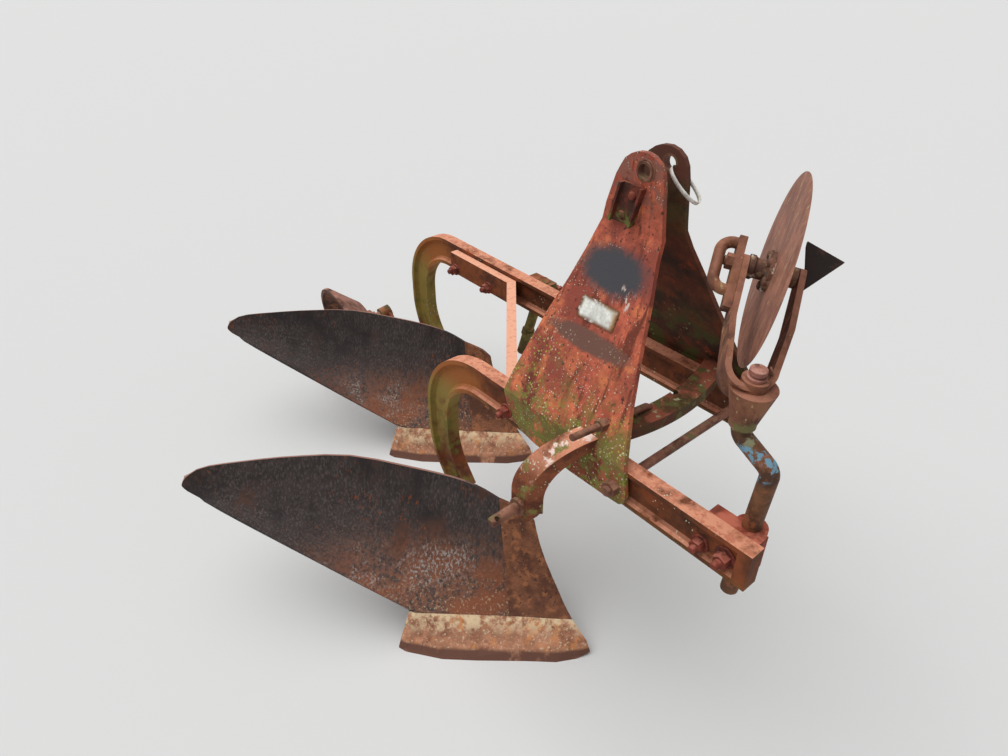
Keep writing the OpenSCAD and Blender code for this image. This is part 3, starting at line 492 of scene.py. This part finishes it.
coat_nodes(blade_finish, "jointer_blade")

# Furrow wheel: a dished steel wheel that trails in the furrow on a leaning axle. It is dark
# brown rust, and the faces that look up are painted paler, as a highlight.
wheel_finish_and_highlight = metal("wheel_rust_and_highlight", rgb(104, 68, 54), [
    dict(colour=rgb(68, 46, 38), noise=(12, 0.45, 0.60)),
    # Paler on the faces that look up: a painted highlight on the rim.
    dict(colour=rgb(158, 112, 98), up=(0.1, 0.5), noise=(18, 0.36, 0.56)),
    dict(colour=rgb(130, 84, 58), noise=(40, 0.52, 0.64)),
])
coat_nodes(wheel_finish_and_highlight, "furrow_wheel", "wheel_axle")

# Nuts: hexagon nuts with washers, on blunt threaded ends, hold the plates, the strap, the
# clamps and the legs of the beams. One of each size is modelled along +Z, then copied and
# turned to each hole it fills.
nut_finish_and_highlight = metal("nut_rust_and_highlight", rgb(130, 62, 48), [
    dict(colour=rgb(88, 46, 38), noise=(40, 0.44, 0.60)),
    # Paler on the faces that look up: a painted highlight.
    dict(colour=rgb(168, 100, 84), up=(0.3, 0.9), noise=(50, 0.38, 0.60)),
])


def closed(piece, angle=35):
    """Leaves edit mode with the faces turned outwards and smooth across blunt edges."""
    bpy.ops.mesh.normals_make_consistent(inside=False)
    bpy.ops.object.mode_set(mode="OBJECT")
    bpy.ops.object.shade_smooth_by_angle(angle=math.radians(angle))
    bpy.ops.object.select_all(action="DESELECT")
    return piece


def top_ring(sides, radius, z):
    """A filled circle, the start of a turned piece, open in edit mode."""
    bpy.ops.mesh.primitive_circle_add(vertices=sides, radius=radius, fill_type="NGON",
                                      location=(0, 0, z))
    bpy.ops.object.transform_apply(location=True, rotation=True, scale=True)
    bpy.ops.object.mode_set(mode="EDIT")
    bpy.ops.mesh.select_all(action="SELECT")


def rise(height, ratio=1.0):
    """Extrudes the selected face upwards and scales its end."""
    bpy.ops.mesh.extrude_region_move(TRANSFORM_OT_translate={"value": (0, 0, height)})
    bpy.ops.transform.resize(value=(ratio, ratio, 1))


WASHER_SIDE, WASHER_BEVEL = 0.0022, 0.0008
NUT_FOOT, NUT_CROWN = 0.0012, 0.0022
THREAD_PITCH, END_TAPER = 0.002, 0.002


def nut_and_end(name, across, thick, washer, stub):
    """A washer, a chamfered hexagon nut and the threaded end that stands out of it, along +Z.

    across is the nut's width over its flats and thick its thickness, washer is the washer's
    diameter, and stub is how far the threaded end stands out of the nut.
    """
    top_ring(32, washer / 2, 0)
    rise(WASHER_SIDE)
    rise(WASHER_BEVEL, 0.96)
    washer_piece = closed(bpy.context.object)
    washer_top = WASHER_SIDE + WASHER_BEVEL
    corner = across / 2 / math.cos(math.pi / 6)
    top_ring(6, corner * 0.94, washer_top)
    rise(NUT_FOOT, 1 / 0.94)
    rise(thick - NUT_FOOT - NUT_CROWN)
    rise(NUT_CROWN, 0.88)
    nut_piece = closed(bpy.context.object, 20)
    top_ring(20, across * 0.30, washer_top + thick - END_TAPER)
    for turn in range(int(stub / THREAD_PITCH)):
        rise(THREAD_PITCH / 2, 0.90)
        rise(THREAD_PITCH / 2, 1 / 0.90)
    rise(END_TAPER, 0.72)
    end_piece = closed(bpy.context.object)
    for piece in (washer_piece, nut_piece, end_piece):
        piece.select_set(True)
    bpy.context.view_layer.objects.active = nut_piece
    bpy.ops.object.join()
    nut_piece.name = name
    nut_piece.data.materials.append(nut_finish_and_highlight)
    bpy.ops.object.select_all(action="DESELECT")
    return nut_piece


def set_in(pattern, name, place, way, body, turn=0.0):
    """A copy of the pattern, with its own mesh, that stands at place along way."""
    piece = bpy.data.objects.new(name, pattern.data.copy())
    bpy.context.collection.objects.link(piece)
    aim = Vector(way).to_track_quat("Z", "Y").to_matrix().to_4x4()
    piece.data.transform(Matrix.Translation(place) @ aim @ Matrix.Rotation(turn, 4, "Z"))
    piece.data.update()
    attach(piece, body)


def discard(pattern):
    """Takes a pattern away once its copies are in place."""
    bpy.data.objects.remove(pattern, do_unlink=True)


RIGHT, LEFT = (-1, 0, 0), (1, 0, 0)
BODY_STEPS = (("front", 0, 0), ("rear", 0.356, 0.587))
plate_nut = nut_and_end("plate_nut", 0.024, 0.014, 0.034, 0.010)
for name, place, way, turn in (
        ("plate_nut_right", (-0.0083, -0.3269, 0.542), RIGHT, 0.3),
        ("plate_nut_left", (0.4018, -0.3269, 0.542), LEFT, 0.9),
        ("clamp_nut_rear", (0.0126, -0.8129, 0.531), RIGHT, 0.5),
        ("strap_nut_rear", (0.3338, 0.3001, 0.525), RIGHT, 0.2),
        ("strap_nut_front", (0.3338, 0.1521, 0.525), RIGHT, 0.7),
        ("strap_nut_inner_rear", (0.0598, -0.3079, 0.538), LEFT, 0.1),
        ("strap_nut_inner_front", (0.0598, -0.3579, 0.538), LEFT, 0.6),
        ("stub_nut_rear", (0.4338, 0.0521, 0.545), LEFT, 0.4),
        ("stub_nut_front", (0.4338, -0.0079, 0.545), LEFT, 0.8)):
    set_in(plate_nut, name, place, way, "root", turn)
clamp_nut = nut_and_end("clamp_nut", 0.026, 0.017, 0.042, 0.014)
set_in(clamp_nut, "clamp_nut_front", (0.0126, -0.8629, 0.538), RIGHT, "root", 0.1)
discard(clamp_nut)
for body, dx, dy in BODY_STEPS:
    for level, y, z, turn in (("low", -0.1107, 0.187, 0.2), ("high", -0.083, 0.223, 0.6)):
        set_in(plate_nut, f"leg_nut_{level}_{body}", (0.0247 + dx, y + dy, z), LEFT, "root",
               turn)
discard(plate_nut)

# Hitch pins: turned steel pins with a collar, riveted into the hitch arms. Each has a blunt
# tip and, through its middle, a slanting hole for the linchpin that keeps the link on. They
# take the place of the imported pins, whose hole is off the middle.
TIP_RADIUS, PIN_RADIUS, COLLAR_RADIUS = 0.0075, 0.011, 0.019
PIN_TIP, PIN_COLLAR, PIN_IN_ARM = 0.004, 0.008, 0.024
HOLE_RADIUS, HOLE_FROM_TIP, HOLE_SLANT = 0.0055, 0.012, 35
for name, inward in (("hitch_pin_right", 1), ("hitch_pin_left", -1)):
    low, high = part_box(name)
    middle = (Vector(low) + Vector(high)) / 2
    length = high[0] - low[0]
    top_ring(48, TIP_RADIUS, 0)
    rise(PIN_TIP, PIN_RADIUS / TIP_RADIUS)
    rise(length - PIN_TIP - PIN_COLLAR - PIN_IN_ARM)
    rise(0, COLLAR_RADIUS / PIN_RADIUS)
    rise(PIN_COLLAR)
    rise(0, PIN_RADIUS / COLLAR_RADIUS)
    rise(PIN_IN_ARM)
    pin = closed(bpy.context.object)
    pin.name = name + "_drilled"
    tip = Vector((middle.x - inward * length / 2, middle.y, middle.z))
    pin.data.transform(Matrix.Translation(tip)
                       @ Vector((inward, 0, 0)).to_track_quat("Z", "Y").to_matrix().to_4x4())
    hole_place = tip + Vector((inward * HOLE_FROM_TIP, 0, 0))
    bpy.ops.mesh.primitive_cylinder_add(vertices=32, radius=HOLE_RADIUS, depth=0.08,
                                        location=hole_place,
                                        rotation=(math.radians(HOLE_SLANT), 0, 0))
    drill = bpy.context.object
    hole = pin.modifiers.new("hole", "BOOLEAN")
    hole.operation = "DIFFERENCE"
    hole.solver = "EXACT"
    hole.object = drill
    bpy.ops.object.select_all(action="DESELECT")
    bpy.context.view_layer.objects.active = pin
    pin.select_set(True)
    bpy.ops.object.modifier_apply(modifier="hole")
    bpy.data.objects.remove(drill, do_unlink=True)
    bpy.ops.object.shade_smooth_by_angle(angle=math.radians(35))
    bpy.ops.object.select_all(action="DESELECT")
    pin.data.materials.clear()
    pin.data.materials.append(rod_finish_and_highlight)
    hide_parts(name)
    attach(pin, "root")

# Flush plough bolts: countersunk bolts hold the shares, the boards and the landsides to
# their frogs. Their heads, hollow in the middle, are worn almost level with the steel round
# them. Each one is seated where a straight line meets its plate.
HEAD_RADIUS, HEAD_SUNK, HEAD_PROUD = 0.0095, 0.003, 0.0006
HEAD_RIM, HOLLOW_DEPTH = 0.0045, 0.0014
top_ring(24, HEAD_RADIUS, -HEAD_SUNK)
rise(HEAD_SUNK)
rise(HEAD_PROUD, 0.93)
bpy.ops.mesh.inset(thickness=HEAD_RIM)
bpy.ops.transform.translate(value=(0, 0, -HOLLOW_DEPTH))
flush_bolt = closed(bpy.context.object)
flush_bolt.name = "flush_bolt"
flush_bolt.data.materials.append(share_finish)


def lay_on(pattern, name, carrier, start, way, body):
    """A copy of the pattern, seated where a straight line from start meets the carrier."""
    hit, place, normal, _ = node[carrier].ray_cast(Vector(start), Vector(way))
    if hit:
        set_in(pattern, name, place, normal, body)


INTO_SHARE, INTO_BOARD = (0, 0.55, -0.84), (0.58, 0.66, -0.66)
for body, dx, dy in BODY_STEPS:
    for k, y in enumerate((-0.46, -0.30, -0.14)):
        lay_on(flush_bolt, f"landside_bolt_{body}_{k}", "landside_" + body,
               (0.2 + dx, y + dy, 0.050), RIGHT, "root")
    for k, (x, y) in enumerate(((-0.045, -0.615), (-0.110, -0.555))):
        lay_on(flush_bolt, f"share_bolt_{body}_{k}", "share_" + body,
               (x + dx, y + dy, 0.20), INTO_SHARE, "root")
flush_bolt.data.materials[0] = board_finish_and_highlight
lay_on(flush_bolt, "board_bolt_rear", "mouldboard_rear", (-0.325, 0.185, 0.62), INTO_BOARD,
       "root")
discard(flush_bolt)

# Bracket rivets: two round headed rivets hold the stow bracket to the right mast plate. The
# head is domed in four short steps.
RIVET_RADIUS = 0.0085
top_ring(24, RIVET_RADIUS, 0)
rise(0.0015)
rise(0.0020, 0.86)
rise(0.0014, 0.74)
rise(0.0006, 0.45)
round_head = closed(bpy.context.object, 60)
round_head.name = "round_head"
round_head.data.materials.append(bracket_finish_and_highlight)
set_in(round_head, "bracket_rivet_low", (0.1557, -0.448, 0.972), RIGHT, "root")
set_in(round_head, "bracket_rivet_high", (0.1557, -0.468, 1.012), RIGHT, "root")

# Hub rivets: five round headed rivets hold the disc to the flange of its cast hub, and turn
# with it. They are as rusty as the casting.
RIVET_COUNT, RIVET_START = 5, 20
RIVET_CIRCLE, FLANGE_FACE = 0.0262, 0.0088
round_head.data.materials[0] = hub_finish
joint = {j["name"]: j for j in frame["joints"]}
disc_pos = Vector(joint["disc_spin"]["pos_m"])
disc_axis = Vector(joint["disc_spin"]["axis"]).normalized()
across_axis = disc_axis.cross(Vector((0, 0, 1))).normalized()
for k in range(RIVET_COUNT):
    turn = math.radians(360 / RIVET_COUNT * k + RIVET_START)
    spoke = Matrix.Rotation(turn, 3, disc_axis) @ across_axis
    set_in(round_head, f"disc_rivet_{k}",
           disc_pos + disc_axis * FLANGE_FACE + spoke * RIVET_CIRCLE,
           disc_axis, "disc")
discard(round_head)

# Label plate: a thin blank label, bare white with rust creeping in from its edges, stuck to
# the slanted part of the right mast plate.
label_finish = metal("label_white", rgb(222, 222, 214), [
    dict(colour=rgb(200, 186, 150), noise=(24, 0.54, 0.70)),
    dict(colour=rgb(168, 128, 84), y=(-0.494, -0.512), noise=(60, 0.34, 0.56)),
    dict(colour=rgb(96, 60, 34), y=(-0.506, -0.515), noise=(70, 0.30, 0.50)),
    dict(colour=rgb(96, 60, 34), y=(-0.434, -0.424), noise=(70, 0.32, 0.52)),
    dict(colour=rgb(110, 66, 36), z=(0.794, 0.784), noise=(70, 0.32, 0.52)),
    dict(colour=rgb(122, 84, 52), z=(0.814, 0.822), noise=(70, 0.36, 0.54)),
    dict(colour=rgb(122, 92, 56), noise=(120, 0.64, 0.69)),
], rough=(0.5, 0.7), grain=0.2)


def edit_all(mesh_object):
    """Opens the mesh in edit mode with all of it selected."""
    bpy.ops.object.select_all(action="DESELECT")
    mesh_object.select_set(True)
    bpy.context.view_layer.objects.active = mesh_object
    bpy.ops.object.mode_set(mode="EDIT")
    bpy.ops.mesh.select_all(action="SELECT")


LABEL_WIDTH, LABEL_LENGTH, LABEL_THICK = 0.043, 0.092, 0.0007
LABEL_CORNER = 0.004
LABEL_PLACE = (0.0902, -0.469, 0.803)
plate_slope = math.atan2(169, 355)  # the plate leans in by 169 mm over a rise of 355 mm
bpy.ops.mesh.primitive_plane_add(size=1)
label = bpy.context.object
label.name = "label_plate"
label.scale = (LABEL_WIDTH, LABEL_LENGTH, 1)
bpy.ops.object.transform_apply(location=True, rotation=True, scale=True)
edit_all(label)
bpy.ops.mesh.bevel(offset=LABEL_CORNER, segments=3, affect="VERTICES")
bpy.ops.mesh.extrude_region_move(TRANSFORM_OT_translate={"value": (0, 0, LABEL_THICK)})
closed(label)
label.data.transform(Matrix.Translation(LABEL_PLACE)
                     @ Matrix.Rotation(plate_slope - math.pi / 2, 4, "Y"))
label.data.materials.append(label_finish)
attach(label, "root")

# White tie: a flat white tie, a closed oval band, loops through the hole of the left mast
# plate and hangs over its front edge.
TIE_HALF_LENGTH, TIE_HALF_WIDTH = 0.0395, 0.0155
TIE_BAND, TIE_THICK = 0.008, 0.0012
TIE_MIDDLE, HOLE_TO_EDGE = (0.2275, -0.5205, 1.0275), (0, -0.063, -0.047)
tie_finish = metal("tie_white", rgb(226, 224, 218), [
    dict(colour=rgb(196, 190, 176), noise=(60, 0.50, 0.66)),
], rough=(0.5, 0.65), grain=0.1)
bpy.ops.mesh.primitive_circle_add(vertices=48, radius=1)
tie = bpy.context.object
tie.name = "white_tie"
edit_all(tie)
bpy.ops.mesh.extrude_region_move(TRANSFORM_OT_translate={"value": (0, 0, TIE_BAND)})
closed(tie, 60)
for v in tie.data.vertices:
    v.co.x, v.co.y = v.co.x * TIE_HALF_LENGTH, v.co.y * TIE_HALF_WIDTH
tie.data.update()
tie_wall = tie.modifiers.new("wall", "SOLIDIFY")
tie_wall.thickness = TIE_THICK
bpy.context.view_layer.objects.active = tie
tie.select_set(True)
bpy.ops.object.modifier_apply(modifier="wall")
bpy.ops.object.select_all(action="DESELECT")
tie_run = Vector(HOLE_TO_EDGE).normalized()
tie_side = Vector((1, 0, 0))
tie_turn = Matrix((tie_run, tie_side, tie_run.cross(tie_side))).transposed().to_4x4()
tie.data.transform(Matrix.Translation(TIE_MIDDLE) @ tie_turn)
tie.data.materials.append(tie_finish)
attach(tie, "root")

# Cotter ring: a small ring through the spindle stands slanting beside the grooved cap of
# the coulter.
RING_RADIUS, WIRE_RADIUS = 0.0055, 0.0016
RING_FROM_SPINDLE = (0.0150, -0.0128, 0.0002)
spindle_pos = Vector(joint["yoke_swivel"]["pos_m"])
bpy.ops.mesh.primitive_torus_add(major_segments=28, minor_segments=10,
                                 major_radius=RING_RADIUS, minor_radius=WIRE_RADIUS)
ring = bpy.context.object
ring.name = "cotter_ring"
edit_all(ring)
bpy.ops.transform.resize(value=(1.0, 0.8, 1.0))
closed(ring, 60)
ring.data.transform(Matrix.Translation(spindle_pos + Vector(RING_FROM_SPINDLE))
                    @ Matrix.Rotation(math.radians(-50), 4, "Z")
                    @ Matrix.Rotation(math.radians(62), 4, "Y"))
ring.data.materials.append(rod_finish_and_highlight)
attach(ring, "root")

# Weld beads: a rough bead of weld runs round each top link bush where it stands out of its
# plate. Its height goes up and down nine times round the bush.
BEAD_RADIUS, BEAD_THICK, BEAD_RIPPLE = 0.0178, 0.0024, 0.03
TOP_LINK_Y, TOP_LINK_Z = -0.4879, 1.061
for name, x in (("bush_weld_right", 0.1607), ("bush_weld_left", 0.2328)):
    bpy.ops.mesh.primitive_torus_add(major_segments=64, minor_segments=10,
                                     major_radius=BEAD_RADIUS, minor_radius=BEAD_THICK,
                                     rotation=(0, math.pi / 2, 0))
    bead = bpy.context.object
    bead.name = name
    bpy.ops.object.transform_apply(location=True, rotation=True, scale=True)
    for v in bead.data.vertices:
        ripple = 1 + BEAD_RIPPLE * math.sin(9 * math.atan2(v.co.y, v.co.z))
        v.co.y, v.co.z = v.co.y * ripple, v.co.z * ripple
    bead.data.transform(Matrix.Translation((x, TOP_LINK_Y, TOP_LINK_Z)))
    edit_all(bead)
    closed(bead, 60)
    bead.data.materials.append(rod_finish_and_highlight)
    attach(bead, "root")
